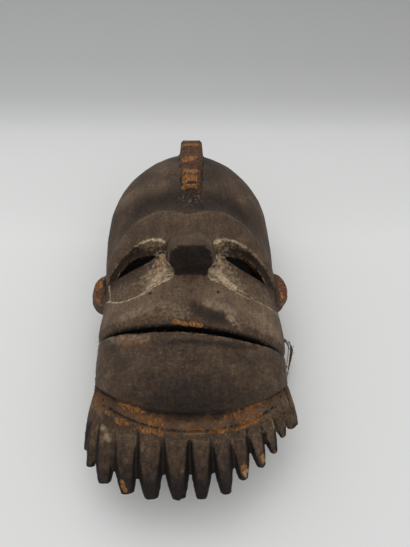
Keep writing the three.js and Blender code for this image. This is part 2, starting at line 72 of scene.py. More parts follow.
def placeCamera(view):
    data = bpy.data.cameras.new("camera")
    data.sensor_width = view["sensor"]
    data.lens = view["focal"] / view["longSide"] * view["sensor"]
    data.shift_x = (view["frameWidth"] / 2 - view["middleColumn"]) / view["longSide"]
    data.clip_start = view["nearest"]
    camera = addObject("camera", data)
    camera.location = toPart([0, view["back"], view["height"]])
    camera.rotation_euler = (math.radians(90 - view["tiltDown"]), 0, 0)
    scene.camera = camera


light = {"skyColour": "#f6f6f4", "skyStrength": 0.75, "keyPower": 2.8, "keySize": 1.2,
         "keyPlace": (-0.25, 0.45, 0.95), "fillPower": 1.5, "fillSize": 1.0, "fillPlace": (0.3, -0.95, 0.75)}


def linear(hexColour):
    parts = [int(hexColour[i:i + 2], 16) / 255 for i in (1, 3, 5)]
    return tuple(c / 12.92 if c <= 0.04045 else ((c + 0.055) / 1.055) ** 2.4 for c in parts) + (1.0,)


def areaLight(name, place, size, power):
    data = bpy.data.lights.new(name, "AREA")
    data.shape = "DISK"
    data.size = size
    data.energy = power
    lamp = addObject(name, data)
    lamp.location = place
    lamp.rotation_euler = (-Vector(place)).to_track_quat("-Z", "Y").to_euler()


def placeLights(light):
    world = bpy.data.worlds.new("studio")
    world.use_nodes = True
    sky = world.node_tree.nodes["Background"]
    sky.inputs["Color"].default_value = linear(light["skyColour"])
    sky.inputs["Strength"].default_value = light["skyStrength"]
    scene.world = world
    areaLight("keyLight", light["keyPlace"], light["keySize"], light["keyPower"])
    areaLight("fillLight", light["fillPlace"], light["fillSize"], light["fillPower"])
    scene.view_settings.view_transform = "Standard"


placeCamera(view)
placeLights(light)
print("camera and lights placed")


# Materials
def addNode(tree, kind, inputs=None, stops=None, **settings):
    node = tree.nodes.new(kind)
    for name, value in settings.items():
        setattr(node, name, value)
    if stops:
        band = node.color_ramp
        while len(band.elements) < len(stops):
            band.elements.new(1.0)
        for element, (place, colour) in zip(band.elements, stops):
            element.position = place
            element.color = linear(colour)
    for key, value in (inputs or {}).items():
        socket = node.inputs[key]
        if isinstance(value, bpy.types.NodeSocket):
            tree.links.new(value, socket)
        else:
            socket.default_value = value
    return node


def newMaterial(name):
    material = bpy.data.materials.new(name)
    material.use_nodes = True
    return material, material.node_tree, material.node_tree.nodes["Principled BSDF"]


def perMetre(sizeMm):  # a pattern's scale for a feature of that size
    return 1000.0 / sizeMm


def blendColour(tree, below, above, share):
    mixer = addNode(tree, "ShaderNodeMix", data_type="RGBA", inputs={0: share})
    for key, value in ((6, below), (7, above)):
        if isinstance(value, bpy.types.NodeSocket):
            tree.links.new(value, mixer.inputs[key])
        else:
            mixer.inputs[key].default_value = linear(value)
    return mixer.outputs[2]


# Old hardwood, knife-carved, smoked and handled: a dark crust that is dusty on the flats, rubbed brown on
# edges, chipped through to orange heartwood, with white kaolin left in the creases.
# Painted shade is laid into the tone, and painted highlights into the dust layer.
wood = {"mottleMm": 30.0, "patchMm": 8.0, "streakMm": 2.4, "speckMm": 1.5, "pitMm": 2.4, "grainMm": 1.1,
        "crumbMm": 2.6, "mottle": 0.4, "patch": 0.4, "streak": 0.26, "speck": 0.74,
        "acrossGrain": (1.0, 0.14, 1.0),
        "crust": [(0.0, "#120b07"), (0.25, "#2c2018"), (0.5, "#4a3829"), (0.75, "#6e5b48"),
                  (1.0, "#9a8670")],
        "rubbed": "#8a7660", "dustAndHighlight": "#93806a", "reddened": "#6b4529", "sooty": "#17100d",
        "heartwood": [(0.3, "#4c301b"), (0.48, "#7d522b"), (0.62, "#a06c37"), (0.8, "#bd8a51")],
        "chalk": [(0.32, "#927859"), (0.5, "#c1a785"), (0.68, "#eadcc2")],
        "relief": 0.8, "reliefDepth": 0.0007, "handled": 0.5, "dry": 0.75, "ior": 1.45, "specular": 0.28}


def smokedWood(name):
    material, tree, shader = newMaterial(name)
    place = addNode(tree, "ShaderNodeTexCoord").outputs["Object"]
    alongGrain = addNode(tree, "ShaderNodeMapping",
                         inputs={"Vector": place, "Scale": wood["acrossGrain"]}).outputs[0]

    def pattern(size, detail=4.0, rough=0.6, vector=place, warp=0.0):
        return addNode(tree, "ShaderNodeTexNoise", inputs={
            "Vector": vector, "Scale": perMetre(size), "Detail": detail, "Roughness": rough,
            "Distortion": warp}).outputs["Fac"]

    def painted(attribute):
        return addNode(tree, "ShaderNodeAttribute", attribute_name=attribute).outputs["Fac"]

    def scaled(value, factor, plus=0.0):
        return addNode(tree, "ShaderNodeMath", operation="MULTIPLY_ADD",
                       inputs={0: value, 1: factor, 2: plus}).outputs[0]

    def coloured(value, stops):
        return addNode(tree, "ShaderNodeValToRGB", inputs={"Fac": value},
                       stops=wood[stops]).outputs["Color"]

    def fade(value, low, high):
        return addNode(tree, "ShaderNodeMapRange", interpolation_type="SMOOTHSTEP",
                       inputs={"Value": value, "From Min": low, "From Max": high}).outputs[0]

    mottle = pattern(wood["mottleMm"], 5.0, 0.6, warp=0.5)
    patch = pattern(wood["patchMm"], 4.0, 0.65, warp=0.8)
    streak = pattern(wood["streakMm"], 3.0, 0.6, vector=alongGrain)
    speck = pattern(wood["speckMm"], 3.0, 0.75)
    crumb = pattern(wood["crumbMm"], 5.0, 0.72, warp=0.4)
    grain = pattern(wood["grainMm"], 3.0, 0.6, vector=alongGrain)

    half = -0.5 * (wood["mottle"] + wood["patch"] + wood["streak"] + wood["speck"])
    tone = addNode(tree, "ShaderNodeMath", operation="ADD", inputs={0: painted("tone"), 1: half}).outputs[0]
    for value, part in ((mottle, "mottle"), (patch, "patch"), (streak, "streak"), (speck, "speck")):
        tone = scaled(value, wood[part], tone)
    crust = coloured(tone, "crust")

    # A painted layer over the ones below, broken up by the crumb at its edge
    def over(below, above, attribute, crumbShare, low, high, strength):
        broken = addNode(tree, "ShaderNodeMath", operation="ADD", inputs={
            0: painted(attribute), 1: scaled(crumb, crumbShare, -0.5 * crumbShare)}).outputs[0]
        return blendColour(tree, below, above, scaled(fade(broken, low, high), strength))

    crust = over(crust, wood["rubbed"], "worn", 1.1, 0.35, 1.05, 0.75)
    # The dusty layer, which also carries painted highlights.
    crust = over(crust, wood["dustAndHighlight"], "wash", 1.6, 0.15, 0.95, 0.7)
    crust = over(crust, wood["reddened"], "russet", 1.9, 0.2, 0.95, 0.7)
    crust = over(crust, wood["sooty"], "crevice", 0.5, 0.1, 0.9, 0.85)
    colour = over(crust, coloured(grain, "heartwood"), "bare", 1.7, 0.34, 0.58, 1.0)
    colour = over(colour, coloured(speck, "chalk"), "kaolin", 1.2, 0.2, 0.92, 0.95)

    pits = addNode(tree, "ShaderNodeTexVoronoi", inputs={"Vector": place, "Scale": perMetre(wood["pitMm"])})
    pitDepth = fade(pits.outputs["Distance"], 0.0, 0.35)
    height = scaled(crumb, 1.5, scaled(grain, 0.6, scaled(speck, 0.5)))
    height = scaled(pitDepth, 0.3, height)
    bump = addNode(tree, "ShaderNodeBump", inputs={
        "Height": height, "Strength": wood["relief"], "Distance": wood["reliefDepth"]})
    tree.links.new(bump.outputs[0], shader.inputs["Normal"])
    tree.links.new(colour, shader.inputs["Base Color"])
    sheen = addNode(tree, "ShaderNodeMapRange", inputs={
        "Value": patch, "From Min": 0.3, "From Max": 0.7,
        "To Min": wood["handled"], "To Max": wood["dry"]}).outputs[0]
    tree.links.new(sheen, shader.inputs["Roughness"])
    shader.inputs["IOR"].default_value = wood["ior"]
    shader.inputs["Specular IOR Level"].default_value = wood["specular"]
    return material


# Sculpting with arrays. Weld and crease step are metres, the crease reach is a share of the grit.
sculpt = {"weld": 1e-5, "creaseStep": 0.0005, "creaseReach": 0.62, "hollowFrom": 0.6, "easing": 0.6,
          "fineBend": 7, "gougeMm": 9.0, "gougeDepth": 0.5, "waveInside": 0.5, "backRim": (1.0, 4.0)}


def plainMesh(piece):  # the evaluated shape becomes the piece's own mesh
    graph = bpy.context.evaluated_depsgraph_get()
    mesh = bpy.data.meshes.new_from_object(piece.evaluated_get(graph))
    piece.modifiers.clear()
    piece.data = mesh
    return piece


# Points a crease step apart along the edges that the knife left sharp
def creasePoints(shape, sharp, crisp):
    found = []
    for edge in shape.edges:
        if len(edge.link_faces) == 2 and edge.calc_face_angle() > math.radians(sharp):
            a, b = (vert.co for vert in edge.verts)
            if not crisp(*toCarver((a + b) / 2)):
                continue
            count = max(1, int((b - a).length / sculpt["creaseStep"]))
            found.extend(a.lerp(b, i / count) for i in range(count + 1))
    return found


# A CAD node, and lofts on it, as one even skin of small faces. Also which points lie on a sharp edge.
def carvedCopy(node, name, grit, sharp, crisp, added=None):
    shape = bmesh.new()
    shape.from_mesh(frame["nodes"][node].data)
    bmesh.ops.remove_doubles(shape, verts=shape.verts, dist=sculpt["weld"])
    if added:
        added(shape)
    creases = creasePoints(shape, sharp, crisp)
    mesh = bpy.data.meshes.new(name)
    shape.to_mesh(mesh)
    shape.free()
    piece = addObject(name, mesh)
    remesh = piece.modifiers.new("skin", "REMESH")
    remesh.mode = "VOXEL"
    remesh.voxel_size = grit / 1000
    plainMesh(piece)
    return piece, snapToCreases(piece, creases, sculpt["creaseReach"] * grit / 1000)


def snapToCreases(piece, creases, reach):  # which points now lie on a sharp edge
    tree = kdtree.KDTree(len(creases))
    for i, point in enumerate(creases):
        tree.insert(point, i)
    tree.balance()
    held = np.zeros(len(piece.data.vertices), bool)
    for i, vertex in enumerate(piece.data.vertices):
        point, _, distance = tree.find(vertex.co)
        if distance < reach:
            vertex.co = point
            held[i] = True
    piece.data.update()
    return held


def thinInside(piece, inside, share):  # fewer faces where only the hollow is, down to a share of all faces
    group = piece.vertex_groups.new(name="hollow")
    for i in np.flatnonzero(inside > sculpt["hollowFrom"]):
        group.add([int(i)], 1.0, "REPLACE")
    thin = piece.modifiers.new("thin", "DECIMATE")
    thin.vertex_group = "hollow"
    thin.ratio = share
    plainMesh(piece)
    piece.vertex_groups.clear()


def readPoints(piece):
    points = np.empty(len(piece.data.vertices) * 3)
    piece.data.vertices.foreach_get("co", points)
    return toCarver(points.reshape(-1, 3))


def writePoints(piece, points):
    piece.data.vertices.foreach_set("co", toPart(points).ravel())
    piece.data.update()


def readNormals(piece):
    normals = np.empty(len(piece.data.vertices) * 3)
    piece.data.vertices.foreach_get("normal", normals)
    return normals.reshape(-1, 3)


def readEdges(piece):
    edges = np.empty(len(piece.data.edges) * 2, int)
    piece.data.edges.foreach_get("vertices", edges)
    return edges.reshape(-1, 2)


def neighbourMean(values, edges, weights):  # the weighted mean over each point's neighbours
    count = len(values)
    a, b = edges[:, 0], edges[:, 1]
    total = np.bincount(a, weights, count) + np.bincount(b, weights, count)
    columns = []
    for column in np.atleast_2d(values.T):
        columns.append(np.bincount(a, weights * column[b], count)
                       + np.bincount(b, weights * column[a], count))
    return (np.array(columns) / np.maximum(total, 1e-9)).T.reshape(values.shape)


def easeFacets(piece, rounds, keepAngle, held):  # smooths shallow facets and keeps the carved edges
    edges = readEdges(piece)
    limit = 1 - math.cos(math.radians(keepAngle))
    step = np.where(held, 0.0, sculpt["easing"])[:, None]
    for _ in range(rounds):
        points, normals = readPoints(piece), readNormals(piece)
        bend = 1 - (normals[edges[:, 0]] * normals[edges[:, 1]]).sum(1)
        weights = np.exp(-(bend / limit) ** 2) + 1e-4
        writePoints(piece, points + step * (neighbourMean(points, edges, weights) - points))


def bending(piece, spread):  # how far each point stands out of its surroundings, in millimetres, at a scale
    edges = readEdges(piece)
    weights = np.ones(len(edges))
    points = readPoints(piece)
    smooth = points.copy()
    for _ in range(spread):
        smooth = 0.3 * smooth + 0.7 * neighbourMean(smooth, edges, weights)
    return ((points - smooth) * readNormals(piece)).sum(1)


def noiseAt(points, size, seed):
    shift = Vector((seed * 13.7, seed * 7.1, seed * 3.3))
    return np.array([noise.noise(Vector(p) + shift) for p in points / size])


# The same points, shifted unevenly, so that what is drawn on them frays
def ragged(points, size, reach, seed):
    shift = Vector((seed * 5.9, seed * 11.3, seed * 2.7))
    return points + reach * np.array([noise.noise_vector(Vector(p) + shift) for p in points / size])


def ramp(low, high, value):
    t = np.clip((value - low) / (high - low), 0, 1)
    return t * t * (3 - 2 * t)


def setPaint(piece, **layers):  # the layers that the wood's colour is mixed from, a value for each point
    for name, values in layers.items():
        layer = piece.data.attributes.new(name, "FLOAT", "POINT")
        layer.data.foreach_set("value", np.clip(values, -0.5, 1.5).astype(np.float32))


def strokeAmount(points, path, radius):  # 1 on a polyline or spot, falling to 0 at the radius
    path = np.asarray(path, float)
    nearest = np.linalg.norm(points - path[0], axis=1)
    for start, end in zip(path[:-1], path[1:]):
        line = end - start
        t = np.clip(((points - start) @ line) / (line @ line), 0, 1)
        nearest = np.minimum(nearest, np.linalg.norm(points - (start + t[:, None] * line), axis=1))
    return 1 - ramp(0.2 * radius, radius, nearest)


def strokes(points, marks):
    amount = np.zeros(len(points))
    for path, radius, strength in marks:
        amount = np.maximum(amount, strength * strokeAmount(points, path, radius))
    return amount


def nearLine(distance, width):
    return np.exp(-(distance / width) ** 2)


# The node's skin with its facets eased and its hollow thinned, and 1 on the points inside that hollow
def carvedSkin(node, name, values, crisp, insideOf, added=None):
    piece, held = carvedCopy(node, name, values["grit"], values["sharp"], crisp, added)
    easeFacets(piece, values["rounds"], values["keepAngle"], held)
    thinInside(piece, insideOf(readPoints(piece), readNormals(piece)), values["hollowShare"])
    points, normals = readPoints(piece), readNormals(piece)
    return piece, points, normals, insideOf(points, normals)


def gougeMarks(points, width):  # scallops of a curved gouge, drawn along the hollow
    row = points[:, 1] / (width * 2.6) + 0.35 * np.sin(points[:, 0] / 17)
    column = np.arctan2(points[:, 0], points[:, 2] - 8) * 60 / width
    return np.abs(np.sin(math.pi * column + 1.7 * np.floor(row))) * np.abs(np.sin(math.pi * row)) ** 0.5


def worked(points, normals, inside, wave, sunk):  # the skin after the tools, flat again at the back rim
    move = (wave * (1 - sculpt["waveInside"] * inside) - sunk) * ramp(*sculpt["backRim"], points[:, 2])
    return points + normals * move[:, None]


def aboveTable(points):
    return points.clip(min=[-1e3, -1e3, 0])


# The feature lines that the CAD part is drawn from, as y at x
brow = {"bottom": 64.5, "top": 91.8, "arch": 0.018, "topArch": 0.0155, "dip": 5.5,
        "dipHalf": 22.0, "bridge": 14.0}
mouth = {"y": -6.5, "z": 40.0, "slant": 0.09, "lean": 0.12, "gap": 0.45}
slits = {"inner": (25.5, 27.0), "outer": (60.6, 61.0), "foot": (47.3, 44.0), "footAt": (56.0, 57.0),
         "rise": (0.068, 0.0846), "underBrow": 3.0, "outerRise": 2.6, "tilt": 0.45}
cheek = {"base": 18.4, "rise": 46.0, "reach": 48.0, "top": 37.0, "temple": (0.032, 0.0)}
sway = {"reach": -2.2, "start": 20.0, "end": 112.0}


def sided(x, pair):  # the first of the pair left of the middle, the second right of it
    return np.where(x < 0, *pair)


def swayAt(y):
    return sway["reach"] * ramp(sway["start"], sway["end"], y)


def browBottom(x):
    return brow["bottom"] - brow["arch"] * (np.maximum(np.abs(x), brow["bridge"]) - 32) ** 2


def browTop(x):
    across = np.abs(x)
    inner = brow["top"] - brow["dip"] * np.clip(1 - across / brow["dipHalf"], 0, 1) ** 1.5
    return np.where(across > brow["dipHalf"],
                    brow["top"] - brow["topArch"] * (across - brow["dipHalf"]) ** 2, inner)


def cheekLine(x):
    across = np.hypot(x, 5)
    peak = cheek["base"] + cheek["rise"] * np.clip(1 - across / cheek["reach"], 0, 1) ** 2.2
    return np.minimum(cheek["top"], peak) + sided(x, cheek["temple"]) * np.clip(across - 45, 0, None) ** 2


def mouthPlane(x, z):
    return mouth["y"] - mouth["slant"] * x - mouth["lean"] * (z - mouth["z"])


def slitLine(x):
    across = np.maximum(np.abs(x), sided(x, slits["inner"]))
    return (sided(x, slits["foot"])
            + sided(x, slits["rise"]) * np.abs(across - sided(x, slits["footAt"])) ** 1.5)


def slitTop(x):  # the upper edge of the slits, or their lower line where there is none
    inner, outer = sided(x, slits["inner"]), sided(x, slits["outer"])
    t = np.clip((np.abs(x) - inner) / (outer - inner), 0, 1)
    top = browBottom(x) - slits["underBrow"] + slits["outerRise"] * t
    return slitLine(x) + (top - slitLine(x)) * np.sin(math.pi * t) ** 0.25


# The face: one block with its nose, ears and crest. The grit is its faces' size, in millimetres.
face = {"grit": 1.0, "sharp": 30.0, "rounds": 9, "keepAngle": 22, "hollowShare": 0.65, "broadBend": 45,
        "waveMm": 16.0, "wave": 0.35, "chatterMm": 5.0, "chatter": 0.14, "chipDepth": 0.35, "frayMm": 5.0,
        "fray": 1.6}
# A tone runs from 0, black, to 1, dusty
faceTones = {"dome": 0.47, "domeRightShade": 0.45, "cove": 0.2, "brow": 0.52, "nose": 0.5, "noseUnderShade": 0.1,
             "panel": 0.56, "lid": 0.36, "muzzle": 0.64, "muzzleRightHighlight": 0.68, "lip": 0.5, "side": 0.45,
             "hollow": 0.34, "crest": 0.04, "ear": 0.36, "slitWallShade": 0.12, "slitDeepShade": -0.3}
bareOnFace = [  # path in carver's millimetres, radius, strength: worn through to orange wood
    ([(-11, -7, 78.7), (-3.4, -9.1, 78.7)], 2.6, 0.9),
    ([(0, -9.3, 79.1), (7.5, -9.9, 78.6)], 2.6, 0.9),
    ([(-22.8, 54.8, 75.2), (-23.3, 46.3, 73.3)], 5.4, 0.5),
    ([(23.5, 52, 73.2), (22, 45, 72)], 4.6, 0.42),
    ([(-46.7, 2.6, 69.6), (-35.8, 3.8, 75.1), (-21.6, 3.7, 79.8)], 7, 0.26),
]
kaolinOnFace = [
    ([(-22, 55, 75.5), (-23, 46, 73)], 5.5, 0.34),
    ([(22, 54, 74), (21, 46, 72)], 5.5, 0.34),
    ([(-5, 107, 89), (0.8, 103, 89), (6, 106, 89)], 6, 0.2),
    ([(-40, 10, 74), (-24, 8, 79)], 9, 0.2),
    ([(27, -3, 78), (31, -6, 76)], 5, 0.34),
    ([(-23.2, 40.3, 72.2), (-29, 34.4, 70), (-35, 27, 71)], 5.0, 0.62),
    ([(-33, 22.5, 75.5), (-25, 26.5, 77.5)], 2.4, 0.95),
    ([(18.7, 42.1, 73.6), (24.5, 36.1, 71.4), (31.9, 31.4, 69)], 5.5, 0.7),
    ([(-63.2, 46.9, 52.5), (-62.4, 37.4, 51.9), (-61.3, 26.8, 53.1)], 1.8, 0.6),
    ([(-48, 20, 68.8), (-61.3, 27, 53.1)], 2.6, 0.62),
    ([(-35, 26, 71), (-48, 21.5, 68)], 3.4, 0.6),
    ([(32, 31, 69), (48, 23, 66)], 3.2, 0.5),
    ([(48, 22, 66), (60, 19.5, 57)], 2.4, 0.5),
]
russetOnFace = [
    ([(-10, 76, 88), (-2, 80, 89)], 10, 0.45),
    ([(-50, -2, 66), (-15, 2, 80)], 8, 0.4),
    ([(-24, 50, 73), (-28, 40, 70)], 6, 0.5),
    ([(25, 50, 73), (27, 44, 70)], 6, 0.5),
    ([(40, 28, 66), (52, 30, 62)], 5, 0.3),
]
washOnFace = [
    ([(-46.7, 2.6, 69.6), (-35.8, 3.8, 75.1), (-21.6, 3.7, 79.8), (-5, -0.8, 81.2)], 11, 0.5),
    ([(11.1, 6.5, 81.9), (20.2, 4.3, 80.3), (29.3, 1.9, 77.6)], 7, 0.5),
    ([(26.2, -2.9, 78.3), (32.5, -7.3, 75)], 6.5, 0.48),
    ([(36, 40, 65), (58, 36, 57)], 8, 0.4),
]
paintedShadeOnFace = [  # painted shade: on the muzzle's right facet and in the middle of the cove above the brow
    ([(2.1, 5.1, 82.6), (9.6, -0.8, 81.3), (21.3, -4.1, 78.8)], 7, 0.24),
    ([(-4, 108, 90), (0.8, 104.6, 89), (6.3, 99.4, 88.4)], 7, 0.12),
]
facePits = {"places": [(-29.4, 19.4, 77), (19.2, 18.1, 79.6)], "radius": 1.6, "depth": 1.2,
            "darkRadius": 1.7, "darkness": 0.6}
# The row, half height and strength of each bare band across the crest
crestBands = [(174.5, 6.0, 0.62), (149.5, 4.4, 0.64), (134.5, 6.4, 0.6), (124.5, 4.6, 1.0),
              (115.8, 3.2, 0.74)]


def crispOnFace(x, y, z):  # not on the nose's bridge or the brow's upper edge, which are rubbed round
    return not (abs(x) < 20 and 44 < y < 112 and z > 76) and abs(y - browTop(x - swayAt(y))) > 4


def insideHollow(points, normals):  # 1 on the walls that face into the hollow
    outward = points - np.array([-1.0, 45.0, 20.0])
    outward[:, 1] = np.sign(outward[:, 1]) * np.clip(np.abs(outward[:, 1]) - 60, 0, None)
    facing = (outward * normals).sum(1) / np.linalg.norm(outward, axis=1)
    return ramp(-0.05, -0.35, facing)


# The nose draws in towards the muzzle, and its back is full. Each runs between two heights or two rows.
nose = {"across": (6, 17.4), "beside": (25, 18.4), "foot": 74, "drawIn": 4.8, "drawHeights": (93, 83),
        "drawRows": ((50, 41), (20, 28)), "fillOut": 2.2, "fillRows": ((44, 51), (76, 64))}


def shapedNose(points):
    x, y, z = points.T
    across = np.abs(x)
    upper, lower = nose["drawRows"]
    pull = nose["drawIn"] * ramp(*nose["drawHeights"], z) * ramp(*upper, y) * ramp(*lower, y)
    lower, upper = nose["fillRows"]
    pull -= nose["fillOut"] * ramp(*lower, y) * ramp(*upper, y)
    pull *= ramp(*nose["across"], across) * ramp(*nose["beside"], across) * (z > nose["foot"])
    return points - np.column_stack([np.sign(x) * pull, 0 * x, 0 * x])


# The slits' upper wall, all their walls, and how deep below the skin a point is
def slitMasks(points, normals):
    x = points[:, 0] - swayAt(points[:, 1])
    y = points[:, 1]
    across = np.abs(x)
    inner, outer = sided(x, slits["inner"]), sided(x, slits["outer"])
    near = ramp(inner - 1.5, inner, across) * ramp(outer + 1.5, outer, across) * ramp(30, 34, points[:, 2])
    near *= ramp(-2, -0.5, y - slitLine(x)) * ramp(15, 12, y - slitTop(x))
    upper = near * ramp(-0.4, -0.7, normals[:, 1]) * ramp(0.0, -0.2, normals[:, 2])
    other = near * np.maximum(ramp(0.5, 0.8, normals[:, 1]),
                              ramp(0.6, 0.85, np.abs(normals[:, 0])) * ramp(0.6, 0.4, normals[:, 2]))
    depth = np.clip((y - slitTop(x)) / slits["tilt"], 0, None)
    return upper, np.maximum(upper, other), depth


def carveFace(face):
    piece, points, normals, inside = carvedSkin("face", "carvedFace", face, crispOnFace, insideHollow)
    bare = paintFace(piece, inside)
    wave = (noiseAt(points, face["waveMm"], 1) * face["wave"]
            + noiseAt(points, face["chatterMm"], 2) * face["chatter"])
    sunk = gougeMarks(points, sculpt["gougeMm"]) * sculpt["gougeDepth"] * inside
    sunk += face["chipDepth"] * ramp(0.3, 0.6, bare)
    sunk += strokes(points, [([pit], facePits["radius"], facePits["depth"]) for pit in facePits["places"]])
    writePoints(piece, aboveTable(shapedNose(worked(points, normals, inside, wave, sunk))))
    return piece


def paintFace(piece, inside):
    points, normals = readPoints(piece), readNormals(piece)
    frayed = ragged(points, face["frayMm"], face["fray"], 3)
    x, y, z = frayed.T
    x = x - swayAt(y)
    lineX, lineY, _ = (points + 0.25 * (frayed - points)).T
    lineX = lineX - swayAt(lineY)
    slitUpper, slit, depth = slitMasks(points, normals)
    outside = (1 - inside) * (1 - slit)
    front = ramp(44, 54, points[:, 2]) * outside
    rise = bending(piece, sculpt["fineBend"])
    broad = bending(piece, face["broadBend"])
    fine = noiseAt(points, 2.2, 6)
    uneven = noiseAt(points, 11, 7)
    clouds = noiseAt(points, 24, 21)

    inner = ramp(48, 20, np.abs(x))
    panel = front * ramp(cheekLine(lineX) - 0.5, cheekLine(lineX) + 1.5, lineY)
    panel *= (ramp(browBottom(lineX) + 1.2, browBottom(lineX) + 0.2, lineY)
              * ramp(12, 17, np.abs(x)) * ramp(67, 62, np.abs(x)))
    lid = (panel * ramp(slitTop(lineX) - 1.5, slitTop(lineX), lineY)
           * ramp(browBottom(lineX) - 3.5, browBottom(lineX) - 2, lineY))
    muzzle = front * ramp(cheekLine(lineX) + 0.5, cheekLine(lineX) - 0.8, lineY)
    lip = muzzle * ramp(9, 4, y - mouthPlane(x, z) - 10 * np.clip(1 - np.abs(x) / 46, 0, 1))
    # Painted shade: the dome's right side is a little darker, as if lit from the left.
    tone = faceTones["dome"] + (faceTones["domeRightShade"] - faceTones["dome"]) * ramp(-30, 40, x)
    tone += 0.3 * clouds * ramp(80, 112, y)
    # Painted shade: a dark band in the cove above the brow's upper edge.
    tone += (faceTones["cove"] - tone) * nearLine(y - browTop(x) - 13, 9) * front * ramp(62, 40, np.abs(x))
    plate = (front * ramp(browTop(x) + 1, browTop(x) - 1, y)
             * ramp(browBottom(lineX), browBottom(lineX) + 1, lineY))
    belowSlit = panel * nearLine(lineY - slitLine(lineX) + 3, 7) * ramp(20, 30, np.abs(x)) * (1 - lid)
    # Painted highlight: the muzzle is a little lighter right of its keel.
    mouthTone = faceTones["muzzle"] + (faceTones["muzzleRightHighlight"] - faceTones["muzzle"]) * ramp(-10, 20, x)
    for zone, amount in (("brow", plate), ("panel", panel), ("lid", lid)):
        tone += (faceTones[zone] - tone) * amount
    tone -= 0.16 * belowSlit
    tone += (mouthTone - tone) * muzzle
    tone += (faceTones["lip"] - tone) * lip
    # Painted shade from the strokes listed with it.
    tone -= strokes(frayed, paintedShadeOnFace)
    noseBlock = ramp(20, 18.5, np.abs(points[:, 0])) * ramp(78, 72, y) * ramp(29, 31, points[:, 1])
    noseBlock *= ramp(79, 82, points[:, 2]) * outside
    # Painted shade: the nose's underside is made near black.
    under = ramp(0.55, 0.8, -normals[:, 1]) * noseBlock * ramp(43, 40, points[:, 1])
    tone += (faceTones["nose"] - tone) * noseBlock
    tone += (faceTones["noseUnderShade"] - tone) * under
    onCrest = ramp(11.5, 10, np.abs(points[:, 0] - 0.3)) * ramp(108, 114, points[:, 1]) * outside
    onCrest *= ramp(0.2, 0.8, broad + 0.8 * ramp(9, 7, np.abs(points[:, 0] - 0.3)))
    tone += (faceTones["crest"] - tone) * onCrest
    ear = (ramp(68.6, 70.4, np.abs(points[:, 0])) * ramp(0.1, 0.5, normals[:, 2])
           * ramp(22, 18, np.abs(points[:, 1] - 48)) * outside)
    tone += (faceTones["ear"] - tone) * ear
    tone += (faceTones["side"] - tone) * ramp(44, 30, points[:, 2]) * outside * (1 - ear)
    tone += 0.07 * uneven * outside
    tone += (faceTones["hollow"] - tone) * inside
    # Painted shade: the slits' walls are dark, and darker the deeper they go.
    wallShade = faceTones["slitWallShade"] + (faceTones["slitDeepShade"] - faceTones["slitWallShade"]) * ramp(2, 7, depth)
    tone += (faceTones["slitDeepShade"] - tone) * slit
    tone += (wallShade - tone) * slitUpper
    # Painted shade: the face's cut end in the mouth's gap is made black.
    aboveCut = points[:, 1] - mouthPlane(points[:, 0], points[:, 2]) - mouth["gap"]
    cut = nearLine(aboveCut, 1.3) * ramp(0.4, 0.8, -normals[:, 1])
    tone += (-0.3 - tone) * cut
    tone -= (facePits["darkness"]
             * strokes(points, [([pit], facePits["darkRadius"], 1.0) for pit in facePits["places"]]))

    slitRim = np.maximum(nearLine(lineY - slitLine(lineX), 1.8),
                         nearLine(lineY - slitTop(lineX), 1.8)) * front
    slitRim *= (ramp(sided(x, slits["inner"]) - 3, sided(x, slits["inner"]), np.abs(x))
                * ramp(64, 61, np.abs(x)))
    tone -= 0.16 * slitRim
    worn = ramp(0.14, 0.5, rise) * (0.7 + 0.6 * uneven) + 0.25 * ramp(0.5, 2.0, broad)
    # By the mouth's cut no rubbed edge is painted, so that its painted shade stays dark.
    worn *= (outside * (1 - 0.6 * lip) * (1 - nearLine(aboveCut, 3.5))
             * (1 - 0.8 * under) * (1 - 0.9 * slitRim))
    worn *= 1 - 0.6 * np.maximum(onCrest, noseBlock)
    crevice = ramp(-0.14, -0.5, rise) * (1 - 0.6 * inside) * (1 - 0.75 * lid) * (1 - slitUpper)

    kaolin = strokes(frayed, kaolinOnFace) * outside
    browEdge = nearLine(lineY - browBottom(lineX) - 0.5, 1.5 + 0.7 * inner)
    browEdge *= (ramp(66, 34, np.abs(x)) * ramp(10, 20, np.abs(x))
                 * (0.55 + 0.45 * ramp(0.2, 0.6, normals[:, 2])))
    cheekEdge = nearLine(lineY - cheekLine(lineX) - 0.8, 2.3 + 0.5 * inner)
    cheekEdge *= (ramp(68, 62, np.abs(x)) * ramp(15, 19, np.abs(x))
                  * np.clip(1.05 + 0.4 * uneven + 0.7 * fine, 0.7, 1.3))
    edges = np.maximum((0.56 + 0.34 * inner) * browEdge * (1 + 0.3 * uneven + 0.4 * fine), 0.95 * cheekEdge)
    kaolin = np.maximum(kaolin, edges * front)
    kaolin = np.maximum(kaolin, 0.42 * panel * inner * (1 - lid) * (1 + fine))

    wash = (panel * (0.3 + 0.5 * inner) * (1 - 0.85 * lid) * (1 - 0.7 * belowSlit)
            * (1 + 0.7 * fine) * (1 - slitRim))
    wash = np.maximum(wash, strokes(frayed, washOnFace) * (0.9 + 0.6 * fine))
    # Painted highlight: a light line along the brow's upper edge, laid into the dust layer.
    browTopHighlight = nearLine(lineY - browTop(lineX) + 1.4, 2.4) * ramp(66, 60, np.abs(points[:, 0])) * front
    wash = np.maximum(wash, (0.26 + 0.3 * uneven) * browTopHighlight) * outside

